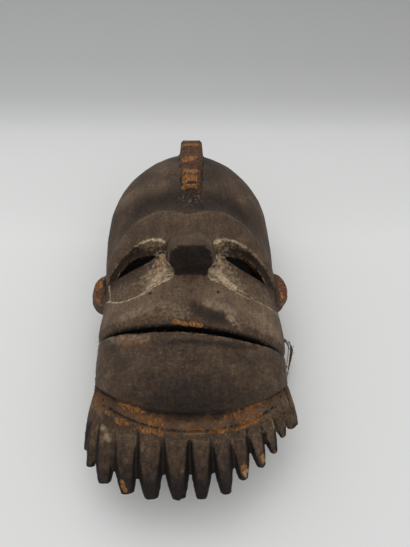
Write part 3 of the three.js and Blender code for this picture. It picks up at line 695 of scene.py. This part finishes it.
    bare = strokes(frayed, bareOnFace) * outside
    scraped = (slitUpper * (x > 0) * ramp(6.5, 4.0, depth)
               * ramp(28, 34, np.abs(x)) * ramp(60, 52, np.abs(x)))
    bare = np.maximum(bare, 0.6 * scraped)
    flat = ramp(8.4, 7.0, np.abs(x - 0.3))
    for place, half, strength in crestBands:
        band = ramp(half + 0.8, half * 0.4, np.abs(y - place))
        bare = np.maximum(bare, strength * onCrest * flat * band)
    bare = np.maximum(bare, (0.1 + 0.5 * fine + 0.4 * uneven) * onCrest * flat)
    rim = ramp(0.25, 0.6, rise)
    striation = 0.4 + 0.9 * noiseAt(points * [0.3, 1.0, 0.5], 1.8, 5)
    bare = np.maximum(bare, ear * (1 - 0.8 * rim) * np.clip(striation, 0, 0.75))
    tone -= 0.25 * ear * rim

    russet = np.maximum(strokes(frayed, russetOnFace), 0.75 * onCrest + 0.9 * ear)
    speckled = nearLine(np.hypot(points[:, 0] / 1.4, points[:, 1] - 104), 9) * front
    russet = np.maximum(russet, 0.28 * speckled) * outside
    wash = np.maximum(wash, 0.3 * speckled)

    offNose = 1 - 0.9 * noseBlock * ramp(62, 56, y)
    setPaint(piece, tone=tone, worn=worn, crevice=crevice, kaolin=kaolin * offNose, wash=wash * offNose,
             bare=bare * offNose, russet=np.maximum(russet, 0.3 * inside))
    return bare * offNose


# The jaw: lip, chin, ledge, the roll and the locks of the beard
jaw = {"grit": 0.9, "sharp": 36.0, "rounds": 7, "keepAngle": 22, "hollowShare": 0.6, "broadBend": 35,
       "waveMm": 13.0, "wave": 0.3, "crumbMm": 2.6, "crumb": 0.2, "pitMm": 2.3, "pitDepth": 0.22,
       "chipDepth": 0.45, "tipChipDepth": 1.3, "frayMm": 4.5, "fray": 2.0}
jawTones = {"chin": 0.46, "chinFootShade": 0.13, "lip": 0.5, "ledge": 0.6, "roll": 0.5, "lockRoot": 0.54,
            "lockTip": 0.2, "lockSideShade": -0.12, "side": 0.4, "hollow": 0.34}
bareOnJaw = [
    ([(-47, -57.5, 53.9), (-41, -59.5, 54.2), (-35.4, -61.1, 54.7)], 4.4, 0.75),
    ([(-56, -59.6, 47.6), (-46.8, -66.2, 47.8), (-33.2, -72.2, 48.6), (-18.7, -75, 50.2)], 3.6, 0.78),
    ([(12.3, -74.6, 50.9), (28.5, -72, 51.2), (46.7, -64.2, 51)], 3.6, 0.76),
    ([(-50, -54, 54), (-30, -66, 53.2), (-10.4, -71, 51.3), (12.3, -71, 51.1), (40, -60, 54),
      (56, -46, 54)], 6.5, 0.36),
]
tipChips = [  # where the beard's dark crust is knocked off
    ([(-44.5, -102.5, 36), (-42.5, -106, 34)], 3.4, 1.0),
    ([(35, -94, 38.5), (38, -97, 35.5)], 5.2, 1.0),
    ([(48, -86.5, 37), (50.5, -89, 35)], 5.2, 1.0),
    ([(62, -72, 33)], 3.4, 0.6),
    ([(67.5, -63.5, 33.5)], 3.4, 0.6),
]
russetOnJaw = [
    ([(-62, -50, 48), (-47, -59, 52), (-30, -66, 52), (-4, -71, 51), (22, -66, 53), (46, -54, 55),
      (60, -44, 52)], 11, 0.62),
    ([(-50, -14, 64), (-31, -20, 73)], 9, 0.5),
]
washOnJaw = [
    ([(-58, -68.7, 45.8), (-54.1, -77.2, 44.5)], 4, 0.85),
    ([(-56, -9, 60.2), (-45.3, -16, 67.6), (-31.1, -18, 73.7)], 7, 0.5),
]
kaolinOnJaw = [
    ([(-50, -12, 64), (-33, -17, 73)], 6, 0.28),
    ([(-8, -26, 78), (0, -44, 79)], 16, 0.17),
    ([(36.5, -95.5, 37), (38, -97, 35.5)], 6, 0.5),
    ([(48.5, -87, 36.5), (50.5, -89, 35)], 6, 0.5),
    ([(-57.5, -69.5, 45.8), (-55, -75, 44.5)], 2.6, 0.42),
]
# Painted shade: a dark line along the groove below the jaw's lip.
paintedShadeOnJaw = [
    ([(-14.1, -23, 76.4), (0, -23.1, 78.8), (16, -23.6, 77.3), (29.6, -23.9, 74.1),
      (43.7, -21, 68.5)], 3.4, 0.22),
]
# The beard's rim is an ellipse. A lock is the angle of its root on it, its width, its reach and its drift.
beard = {"a": 66.0, "b": 42.0, "z": 42.0, "drop": 12.0, "thick": 6.5, "centre": -34.0, "stations": 9,
         "face": 0.76, "faceTaper": 0.3, "notch": (-4.0, -110.0, 33.0), "notchReach": 4.0, "notchDepth": 2.0,
         "locks": [(175, 10, 40, -4), (163, 13, 43, -3), (148, 18, 44, 0), (133, 19, 42, 5),
                   (115, 20, 38, 3), (99, 19, 35, 3), (84, 16, 34, 0), (72, 15, 33, 2), (61, 14, 27, 2),
                   (50, 13, 23, 4), (39, 12, 19, 4), (28, 11, 14, 4), (17, 10, 16, 5), (5, 10, 22, 6)]}


def chinShare(x, y):  # 0 at the chin's middle, 1 on its edge, more on the ledge, the roll and the beard
    return np.hypot(x / 66.5, np.minimum(y - beard["centre"], 0) / 34.2)


def crispOnJaw(x, y, z):  # sharp at the back rim, the mouth's cut, the ledge and the roll
    return z < 3 or abs(mouthPlane(x, z) - y) < 6 or (z > 40 and 0.93 < chinShare(x, y) < 1.26)


def lockPath(turn, reach, drift):  # the three points that a lock bends through
    angle = math.radians(turn)
    root = np.array([
        beard["a"] * math.cos(angle), beard["centre"] - beard["b"] * math.sin(angle), beard["z"]])
    start = root + [-0.12 * root[0], 9, 1]
    bend = root + [0, -0.35 * reach, 2]
    tip = root + [drift, -reach, -beard["drop"]]
    return start, bend, tip


def addLocks(shape):  # each lock again as a flat-faced tongue with a slanting facet at each side
    for turn, width, reach, drift in beard["locks"]:
        start, bend, tip = lockPath(turn, reach, drift)
        rings = []
        for i in range(beard["stations"] + 1):
            t = i / beard["stations"]
            point = (1 - t) ** 2 * start + 2 * t * (1 - t) * bend + t * t * tip
            along = 2 * (1 - t) * (bend - start) + 2 * t * (tip - bend)
            along /= np.linalg.norm(along)
            sideways = np.array([-along[1], along[0], 0])
            sideways /= np.linalg.norm(sideways)
            up = np.cross(along, sideways)
            half = width / 2 * (1.06 - 0.58 * t ** 3)
            deep = beard["thick"] * (1.04 - 0.5 * t * t)
            flat = beard["face"] - beard["faceTaper"] * t
            section = [(1.0, -0.1), (flat, 0.98), (-flat, 0.98), (-1.0, -0.1), (-0.7, -0.9), (0.7, -0.9)]
            rings.append([shape.verts.new(toPart(point + half * u * sideways + deep * v * up))
                          for u, v in section])
        count = len(rings[0])
        for near, far in zip(rings[:-1], rings[1:]):
            for i in range(count):
                j = (i + 1) % count
                shape.faces.new((near[i], far[i], far[j], near[j]))
        shape.faces.new(rings[0])
        shape.faces.new(list(reversed(rings[-1])))
    bmesh.ops.recalc_face_normals(shape, faces=shape.faces)


def carveJaw(jaw):
    piece, points, normals, inside = carvedSkin("jaw", "carvedJaw", jaw, crispOnJaw, insideJaw, addLocks)
    bare = paintJaw(piece, inside)
    wave = (noiseAt(points, jaw["waveMm"], 3) * jaw["wave"]
            + noiseAt(points, jaw["crumbMm"], 4) * jaw["crumb"])
    sunk = gougeMarks(points, sculpt["gougeMm"]) * sculpt["gougeDepth"] * inside
    sunk += jaw["chipDepth"] * ramp(0.3, 0.6, bare)
    notch = strokes(points, [([beard["notch"]], beard["notchReach"], beard["notchDepth"])])
    sunk += jaw["tipChipDepth"] * strokes(points, tipChips) + notch
    onChin = (ramp(1.0, 0.9, chinShare(points[:, 0], points[:, 1])) * ramp(50, 56, points[:, 2])
              * (1 - inside))
    sunk += jaw["pitDepth"] * onChin * ramp(0.25, 0.5, noiseAt(points, jaw["pitMm"], 31))
    writePoints(piece, aboveTable(worked(points, normals, inside, wave, sunk)))
    return piece


def insideJaw(points, normals):
    outward = points - np.array([0.0, beard["centre"], 10.0])
    outward[:, 1] = np.minimum(outward[:, 1], 0)
    facing = (outward * normals).sum(1) / np.maximum(np.linalg.norm(outward, axis=1), 1e-6)
    return ramp(-0.05, -0.35, facing) * ramp(-84, -78, points[:, 1])


def paintJaw(piece, inside):
    points, normals = readPoints(piece), readNormals(piece)
    frayed = ragged(points, jaw["frayMm"], jaw["fray"], 9)
    x, y, z = frayed.T
    outside = 1 - inside
    rise = bending(piece, sculpt["fineBend"])
    broad = bending(piece, jaw["broadBend"])
    uneven = noiseAt(points, 9, 12)
    spots = noiseAt(points, 2.6, 33)
    out = chinShare(x, y)
    crispOut = chinShare(points[:, 0], points[:, 1])
    lipDistance = mouthPlane(x, z) - y

    # Painted shade: the chin is darkened round its lower part.
    tone = (jawTones["chin"]
            + (jawTones["chinFootShade"] - jawTones["chin"]) * nearLine(np.hypot(x / 1.7, y + 63), 15))
    tone += 0.12 * spots * ramp(0.98, 0.9, out)
    tone += (jawTones["lip"] - tone) * ramp(16, 8, lipDistance) * ramp(60, 66, z)
    # Painted shade from the strokes listed with it.
    tone -= strokes(frayed, paintedShadeOnJaw)
    ledge = ramp(0.97, 1.03, out) * ramp(62, 58, z)
    tone += (jawTones["ledge"] - tone) * ledge
    roll = ramp(1.16, 1.2, out) * ramp(53, 49, z)
    tone += (jawTones["roll"] - tone) * roll
    onLocks = ramp(1.3, 1.36, crispOut)
    lockShare = np.clip((out - 1.36) / 0.8, 0, 1)
    lockTone = jawTones["lockRoot"] + (jawTones["lockTip"] - jawTones["lockRoot"]) * lockShare
    lockTone -= 0.22 * ramp(-97, -107, points[:, 1])
    # Painted shade: the locks' side facets are darker than their fronts.
    lockTone += ((jawTones["lockSideShade"] - lockTone) * ramp(0.82, 0.6, normals[:, 2])
                 * ramp(0.35, 0.6, np.abs(normals[:, 0])))
    lockTone += 0.2 * noiseAt(points * [1.0, 0.22, 1.0], 2.2, 17)
    tone += (lockTone - tone) * onLocks
    tone += (jawTones["side"] - tone) * ramp(-50, -42, y) * ramp(46, 38, points[:, 2])
    tone += 0.09 * uneven
    tone += (jawTones["hollow"] - tone) * inside
    # Painted shade: the jaw's lip end in the mouth's gap is made black.
    cut = nearLine(lipDistance - mouth["gap"] * 0.5 - 2.0, 2.6) * ramp(0.4, 0.8, normals[:, 1])
    tone += (-0.3 - tone) * cut

    worn = ramp(0.14, 0.5, rise) * (0.65 + 0.7 * uneven) + 0.2 * ramp(0.4, 2.0, broad)
    worn *= outside * (1 - 0.85 * onLocks) * (1 - 0.75 * nearLine(out - 1.0, 0.06) * ramp(-40, -52, y))
    crevice = ramp(-0.12, -0.45, rise)
    bare = strokes(frayed, bareOnJaw) * (1 + 0.8 * uneven)
    bare = np.maximum(bare, strokes(points, tipChips)) * outside
    russet = strokes(frayed, russetOnJaw) * (1 + 0.8 * uneven) * outside
    wash = strokes(frayed, washOnJaw)
    roots = nearLine(out - 1.36, 0.08) * ramp(30, 36, z) * ramp(0.75, 0.9, normals[:, 2]) * outside
    wash = np.maximum(wash, 0.3 * roots)
    kaolin = strokes(frayed, kaolinOnJaw) * outside
    setPaint(piece, tone=tone, worn=worn, crevice=crevice, kaolin=kaolin, wash=wash, bare=bare,
             russet=np.maximum(russet, 0.3 * inside))
    return bare


def shadeSmooth(piece):
    for polygon in piece.data.polygons:
        polygon.use_smooth = True


faceWood = smokedWood("smokedFaceWood")
jawWood = smokedWood("smokedJawWood")

carvedFace = carveFace(face)
carvedJaw = carveJaw(jaw)
for piece, material in ((carvedFace, faceWood), (carvedJaw, jawWood)):
    piece.data.materials.append(material)
    shadeSmooth(piece)
    print(piece.name, sum(len(polygon.vertices) - 2 for polygon in piece.data.polygons), "triangles")

# The ties: a loop of galvanised wire and a loop of two-ply fibre cord at each side, through the hole in the
# face's wall and the one in the jaw's
tieRun = {"wallMiddle": 65.5, "closeBow": 6.4, "rightBow": 11.5, "perTurn": 20, "across": 70.0,
          "faceHole": 30.0, "jawHole": -13.5, "endPower": 0.35, "sidePower": 0.5, "spacing": 0.0007}
wire = {"pitch": 1.5, "turns": 2, "open": 0.0, "lift": 1.3, "inside": 13.5, "outside": 0.0, "radius": 0.78,
        "layRadius": 0.0, "layTurns": 0.0, "twistTurns": 4, "twistLength": 9.0, "twistRadius": 0.8}
cord = {"pitch": 0.0, "turns": 1, "open": 0.05, "lift": -2.0, "inside": 13.8, "outside": 2.0,
        "radius": 0.82, "layRadius": 0.68, "layTurns": 150.0}
hair = {"density": 1.7e5, "length": 0.0042, "radius": 0.00015, "seed": 7}


def tiePath(side, tie):  # the loop as the CAD part has it
    ends = (mouthPlane(side * tieRun["across"], hingeSpot["z"])
            + np.array([tieRun["jawHole"], tieRun["faceHole"]]))
    middle, reach = ends.mean(), (ends[1] - ends[0]) / 2
    step = np.arange(tie["turns"] * tieRun["perTurn"] + 1)
    turn = (tie["open"] + (tie["turns"] - 2 * tie["open"]) * step / step[-1]) * 2 * math.pi
    out = -np.sign(np.cos(turn)) * np.abs(np.cos(turn)) ** tieRun["endPower"]
    along = np.sign(np.sin(turn)) * np.abs(np.sin(turn)) ** tieRun["sidePower"]
    bow = tieRun["closeBow"] if side < 0 else tieRun["rightBow"] + tie["outside"]
    outer = tieRun["closeBow"] + (bow - tieRun["closeBow"]) * ramp(-0.4, 0.4, along)
    depth = np.where(out > 0, outer, tie["inside"])
    z = hingeSpot["z"] + tie["lift"] + tie["pitch"] * (step / tieRun["perTurn"] - tie["turns"] / 2)
    return np.column_stack([side * (tieRun["wallMiddle"] + out * depth), middle + reach * along, z])


def twistedEnds(path, side, tie):  # both ends of the wire, wound round each other inside the loop
    middle = (path[0] + path[-1]) / 2
    share = np.linspace(0, 1, 8 * tie["twistTurns"] + 1)[1:]
    turn = share * tie["twistTurns"] * 2 * math.pi + math.pi / 2
    run = middle + np.outer(share * tie["twistLength"], [-0.35 * side, 0.9, 0.2])
    swing = np.column_stack([np.cos(turn), 0 * turn, np.sin(turn)]) * tie["twistRadius"]
    return np.vstack([(run - swing)[::-1], path, run + swing])


def newTree(name, sockets, result):  # a node tree with the inputs named, and the values that it is given
    tree = bpy.data.node_groups.new(name, "GeometryNodeTree")
    for label, kind in sockets.items():
        tree.interface.new_socket(label, in_out="INPUT", socket_type="NodeSocket" + kind)
    tree.interface.new_socket(result, in_out="OUTPUT", socket_type="NodeSocketGeometry")
    return tree, addNode(tree, "NodeGroupInput").outputs


def closeTree(tree, parts, material):
    real = addNode(tree, "GeometryNodeRealizeInstances", inputs={"Geometry": parts}).outputs[0]
    painted = addNode(tree, "GeometryNodeSetMaterial",
                      inputs={"Geometry": real, "Material": material}).outputs[0]
    addNode(tree, "NodeGroupOutput", inputs={0: painted})
    return tree


def strandNodes(name, plies):  # a path laid with strands that wind round it
    tree, given = newTree(name, {
        "Path": "Geometry", "Strand Radius": "Float", "Lay Radius": "Float", "Turns per Metre": "Float",
        "Spacing": "Float", "Material": "Material"}, "Strands")
    curve = addNode(tree, "GeometryNodeMeshToCurve", inputs={"Mesh": given["Path"]}).outputs[0]
    curve = addNode(tree, "GeometryNodeCurveSplineType", spline_type="CATMULL_ROM",
                    inputs={"Curve": curve}).outputs[0]
    curve = addNode(tree, "GeometryNodeResampleCurve", mode="LENGTH",
                    inputs={"Curve": curve, "Length": given["Spacing"]}).outputs[0]
    length = addNode(tree, "GeometryNodeSplineParameter").outputs["Length"]
    turns = addNode(tree, "ShaderNodeMath", operation="MULTIPLY",
                    inputs={0: length, 1: given["Turns per Metre"]}).outputs[0]
    normal = addNode(tree, "GeometryNodeInputNormal").outputs[0]
    tangent = addNode(tree, "GeometryNodeInputTangent").outputs[0]
    beside = addNode(tree, "ShaderNodeVectorMath", operation="CROSS_PRODUCT",
                     inputs={0: normal, 1: tangent}).outputs[0]
    profile = addNode(tree, "GeometryNodeCurvePrimitiveCircle",
                      inputs={"Resolution": 8, "Radius": given["Strand Radius"]})
    joined = addNode(tree, "GeometryNodeJoinGeometry")
    for ply in range(plies):
        angle = addNode(tree, "ShaderNodeMath", operation="MULTIPLY_ADD",
                        inputs={0: turns, 1: 2 * math.pi, 2: 2 * math.pi * ply / plies}).outputs[0]
        shift = None
        for kind, axis in (("COSINE", normal), ("SINE", beside)):
            wave = addNode(tree, "ShaderNodeMath", operation=kind, inputs={0: angle}).outputs[0]
            reach = addNode(tree, "ShaderNodeMath", operation="MULTIPLY",
                            inputs={0: wave, 1: given["Lay Radius"]}).outputs[0]
            part = addNode(tree, "ShaderNodeVectorMath", operation="SCALE",
                           inputs={0: axis, "Scale": reach}).outputs[0]
            if shift is not None:
                part = addNode(tree, "ShaderNodeVectorMath", operation="ADD",
                               inputs={0: shift, 1: part}).outputs[0]
            shift = part
        strand = addNode(tree, "GeometryNodeSetPosition",
                         inputs={"Geometry": curve, "Offset": shift}).outputs[0]
        tube = addNode(tree, "GeometryNodeCurveToMesh", inputs={
            "Curve": strand, "Profile Curve": profile.outputs[0], "Fill Caps": True}).outputs[0]
        tree.links.new(tube, joined.inputs[0])
    return closeTree(tree, joined.outputs[0], given["Material"])


def hairNodes(name):  # stray fibres that stand out of a cord at random
    tree, given = newTree(name, {
        "Cord": "Geometry", "Density": "Float", "Hair Length": "Float", "Hair Radius": "Float",
        "Seed": "Int", "Material": "Material"}, "Frayed")
    spread = addNode(tree, "GeometryNodeDistributePointsOnFaces", inputs={
        "Mesh": given["Cord"], "Density": given["Density"], "Seed": given["Seed"]})
    fibre = addNode(tree, "GeometryNodeMeshCone", fill_type="NONE", inputs={
        "Vertices": 3, "Radius Top": 0.0, "Radius Bottom": given["Hair Radius"],
        "Depth": given["Hair Length"]}).outputs[0]
    lean = addNode(tree, "FunctionNodeRandomValue", data_type="FLOAT_VECTOR", inputs={
        0: (-1.1, -1.1, -3.1), 1: (1.1, 1.1, 3.1), "Seed": given["Seed"]}).outputs[0]
    turned = addNode(tree, "FunctionNodeRotateRotation",
                     inputs={"Rotation": spread.outputs["Rotation"], "Rotate By": lean},
                     rotation_space="LOCAL").outputs[0]
    size = addNode(tree, "FunctionNodeRandomValue", data_type="FLOAT", inputs={
        2: 0.25, 3: 1.0, "Seed": given["Seed"]}).outputs[1]
    placed = addNode(tree, "GeometryNodeInstanceOnPoints", inputs={
        "Points": spread.outputs["Points"], "Instance": fibre, "Rotation": turned,
        "Scale": size}).outputs[0]
    joined = addNode(tree, "GeometryNodeJoinGeometry")
    tree.links.new(placed, joined.inputs[0])
    tree.links.new(given["Cord"], joined.inputs[0])
    return closeTree(tree, joined.outputs[0], given["Material"])


def runNodes(piece, tree, values):
    modifier = piece.modifiers.new(tree.name, "NODES")
    modifier.node_group = tree
    sockets = {item.name: item.identifier for item in tree.interface.items_tree if item.in_out == "INPUT"}
    for label, value in values.items():
        modifier[sockets[label]] = value
    return plainMesh(piece)


def pathPiece(name, path):
    mesh = bpy.data.meshes.new(name)
    mesh.from_pydata([tuple(point) for point in toPart(path)],
                     [(i, i + 1) for i in range(len(path) - 1)], [])
    return addObject(name, mesh)


def layTie(name, path, tie, tree, material):
    return runNodes(pathPiece(name, path), tree, {
        "Strand Radius": tie["radius"] / 1000, "Lay Radius": tie["layRadius"] / 1000,
        "Turns per Metre": tie["layTurns"], "Spacing": tieRun["spacing"], "Material": material})


def galvanisedWire():  # zinc-coated steel, dull and grimy, for the wire
    material, tree, shader = newMaterial("galvanisedWire")
    place = addNode(tree, "ShaderNodeTexCoord").outputs["Object"]
    grime = addNode(tree, "ShaderNodeTexNoise",
                    inputs={"Vector": place, "Scale": perMetre(2.5), "Detail": 4.0}).outputs["Fac"]
    colour = addNode(tree, "ShaderNodeValToRGB", inputs={"Fac": grime},
                     stops=[(0.35, "#86817a"), (0.5, "#bab7b1"), (0.65, "#d5d3cf")]).outputs["Color"]
    tree.links.new(colour, shader.inputs["Base Color"])
    shader.inputs["Metallic"].default_value = 0.35
    shader.inputs["Roughness"].default_value = 0.42
    return material


def plantFibre():  # dark hand-laid bast fibre, reddish where it frays, for the cord
    material, tree, shader = newMaterial("plantFibre")
    place = addNode(tree, "ShaderNodeTexCoord").outputs["Object"]
    strand = addNode(tree, "ShaderNodeTexNoise",
                     inputs={"Vector": place, "Scale": perMetre(0.9), "Detail": 3.0}).outputs["Fac"]
    colour = addNode(tree, "ShaderNodeValToRGB", inputs={"Fac": strand},
                     stops=[(0.3, "#1f1613"), (0.5, "#44332b"), (0.68, "#7a5a4b")]).outputs["Color"]
    tree.links.new(colour, shader.inputs["Base Color"])
    shader.inputs["Roughness"].default_value = 0.9
    return material


wireMaterial = galvanisedWire()
fibreMaterial = plantFibre()
oneStrand = strandNodes("wireStrand", 1)
twoPly = strandNodes("twoPlyCord", 2)
fray = hairNodes("strayFibres")
ties = []
for sideName, side in (("right", 1), ("left", -1)):
    loop = layTie("wire" + sideName.title(), twistedEnds(tiePath(side, wire), side, wire), wire,
                  oneStrand, wireMaterial)
    strand = layTie("cord" + sideName.title(), tiePath(side, cord), cord, twoPly, fibreMaterial)
    runNodes(strand, fray, {
        "Density": hair["density"], "Hair Length": hair["length"], "Hair Radius": hair["radius"],
        "Seed": hair["seed"] + side, "Material": fibreMaterial})
    ties += [(loop, "tie_wire_" + sideName, "wire"), (strand, "tie_cord_" + sideName, "cord")]
print("ties laid", [len(tie.data.polygons) for tie, _, _ in ties], "faces")
for tie, _, _ in ties:
    shadeSmooth(tie)

# The table: pale, with painted shade that greys it towards its far side
table = {"nearEdge": -1.2, "farEdge": 2.2, "halfWidth": 1.6, "roughness": 0.6,
         "shadeFrom": 0.1, "shadeTo": 0.6,
         "paintedFalloff": [(0.0, "#e6e7e7"), (0.1, "#dfe0e0"), (0.24, "#dadbdb"), (0.34, "#d3d4d5"),
                    (0.4, "#c5c6c7"), (0.49, "#b4b5b6"), (0.66, "#a9aaab"), (1.0, "#a1a2a3")]}


def layTable(table):
    mesh = bpy.data.meshes.new("table")
    wide, near, far = table["halfWidth"], table["nearEdge"], table["farEdge"]
    corners = [(-wide, near, 0), (wide, near, 0), (wide, far, 0), (-wide, far, 0)]
    mesh.from_pydata(corners, [], [(0, 1, 2, 3)])
    floor = addObject("table", mesh)
    material, tree, shader = newMaterial("matteTableTop")
    place = addNode(tree, "ShaderNodeTexCoord").outputs["Object"]
    away = addNode(tree, "ShaderNodeSeparateXYZ", inputs={0: place}).outputs["Y"]
    share = addNode(tree, "ShaderNodeMapRange", inputs={
        "Value": away, "From Min": table["shadeFrom"], "From Max": table["shadeTo"]}).outputs[0]
    shade = addNode(tree, "ShaderNodeValToRGB", inputs={"Fac": share},
                    stops=table["paintedFalloff"]).outputs["Color"]
    tree.links.new(shade, shader.inputs["Base Color"])
    shader.inputs["Roughness"].default_value = table["roughness"]
    mesh.materials.append(material)
    return floor


floor = layTable(table)
print("table laid")

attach(carvedFace, "face")
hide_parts("face")
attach(carvedJaw, "jaw")
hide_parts("jaw")
for tie, node, slot in ties:
    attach(tie, "face")
    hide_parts(node)
